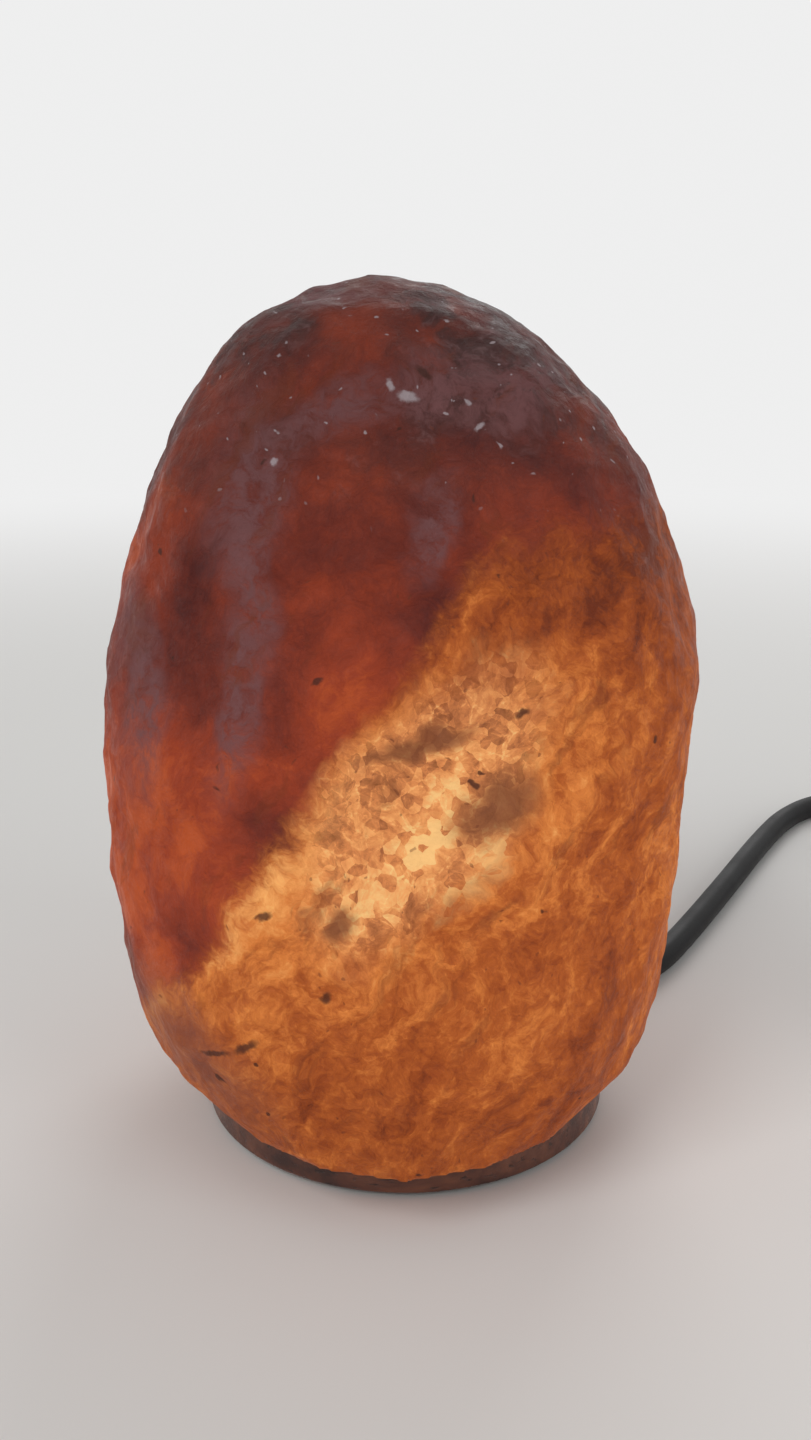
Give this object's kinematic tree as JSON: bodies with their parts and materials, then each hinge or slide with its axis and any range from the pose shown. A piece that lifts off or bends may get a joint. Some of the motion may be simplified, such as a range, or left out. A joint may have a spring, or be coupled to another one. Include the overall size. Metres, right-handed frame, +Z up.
{
  "type": "salt crystal lamp",
  "caption": "Table lamp: a hollowed rough rock-salt block on a round wooden base, lit from inside by a small screw-in bulb, with a cord, rocker switch and flat plug.",
  "frame": {"origin": "on the table top, under the bulb's axis, which stands 3 mm behind the middle of the wooden base", "axes": "+Z up along the bulb's axis, -Y towards the lamp's front, +X to its right; the cord leaves under the base towards the back right"},
  "size_m": [0.3569, 0.2451, 0.1724],
  "materials": {
    "salt": "rough",
    "wood": "satin",
    "felt": "matte",
    "steel": "satin",
    "nylon": "matte",
    "black_plastic": "satin",
    "ceramic": "matte",
    "brass": "satin",
    "cord_black": "matte",
    "live_core": "satin",
    "neutral_core": "satin",
    "clear_glass": "clear",
    "dark_glass": "gloss",
    "filament_metal": "glowing",
    "solder": "satin"
  },
  "bodies": {
    "lamp_holder": {"case_screws": "steel", "centre_contact": "brass", "clamp_screws": "steel", "clip_screws": "steel", "cord_boot": "cord_black", "cord_clamps": "black_plastic", "cord_coil": "cord_black", "cord_grip": "black_plastic", "cord_inner": "cord_black", "cord_lead": "cord_black", "cord_tail": "cord_black", "cord_to_coil": "cord_black", "grip_screws": "steel", "holder_body": "black_plastic", "holder_cap": "black_plastic", "holder_insert": "ceramic", "live_wire": "live_core", "neutral_link": "neutral_core", "neutral_wire": "neutral_core", "pin_sleeves": "black_plastic", "plug_body": "black_plastic", "plug_cord_end": "cord_black", "plug_pins": "steel", "plug_relief": "cord_black", "screw_shell": "brass", "spring_clip": "steel", "switch_cord_ends": "cord_black", "switch_lower_shell": "black_plastic", "switch_terminal_screws": "steel", "switch_terminals": "brass", "switch_upper_shell": "black_plastic", "switched_wires": "live_core", "terminal_screws": "steel", "terminals": "brass"},
    "salt_lamp": {"salt_crystal": "salt", "wooden_base": "wood", "base_screws": "steel", "wall_plugs": "nylon", "foot_pads": "felt"},
    "bulb_contact": {"cap_contact": "solder"},
    "bulb": {"bulb_cap": "brass", "cap_insulator": "dark_glass", "bulb_glass": "clear_glass", "bulb_stem": "clear_glass", "filament_leads": "steel", "filament": "filament_metal"},
    "switch_rocker": {"switch_rocker": "black_plastic", "rocker_plunger": "nylon", "rocker_spring": "steel"},
    "contact_lever": {"contact_lever": "brass"}
  },
  "joints": [
    {"name": "lift_off", "type": "slide", "parent": "lamp_holder", "child": "salt_lamp", "axis": [0, 0, 1], "range_m": [0, 0.12]},
    {"name": "bulb_rise", "type": "slide", "parent": "lamp_holder", "child": "bulb_contact", "axis": [0, 0, 1], "range_m": [0, 0.01412]},
    {"name": "bulb_turn", "type": "hinge", "parent": "bulb_contact", "child": "bulb", "pos_m": [0, 0, 0.021], "axis": [0, 0, 1], "range_deg": [0, 1800]},
    {"name": "rocker_tilt", "type": "hinge", "parent": "lamp_holder", "child": "switch_rocker", "pos_m": [0.282, 0.059, 0.0152], "axis": [1, 0, 0], "range_deg": [0, 16]},
    {"name": "lever_tilt", "type": "hinge", "parent": "lamp_holder", "child": "contact_lever", "pos_m": [0.282, 0.059, 0.006], "axis": [1, 0, 0], "range_deg": [-9.7, 0]}
  ],
  "couplings": [
    {"joint": "bulb_rise", "follows": "bulb_turn", "m_per_rad": 0.00044913},
    {"joint": "lever_tilt", "follows": "rocker_tilt", "ratio": -0.6}
  ]
}
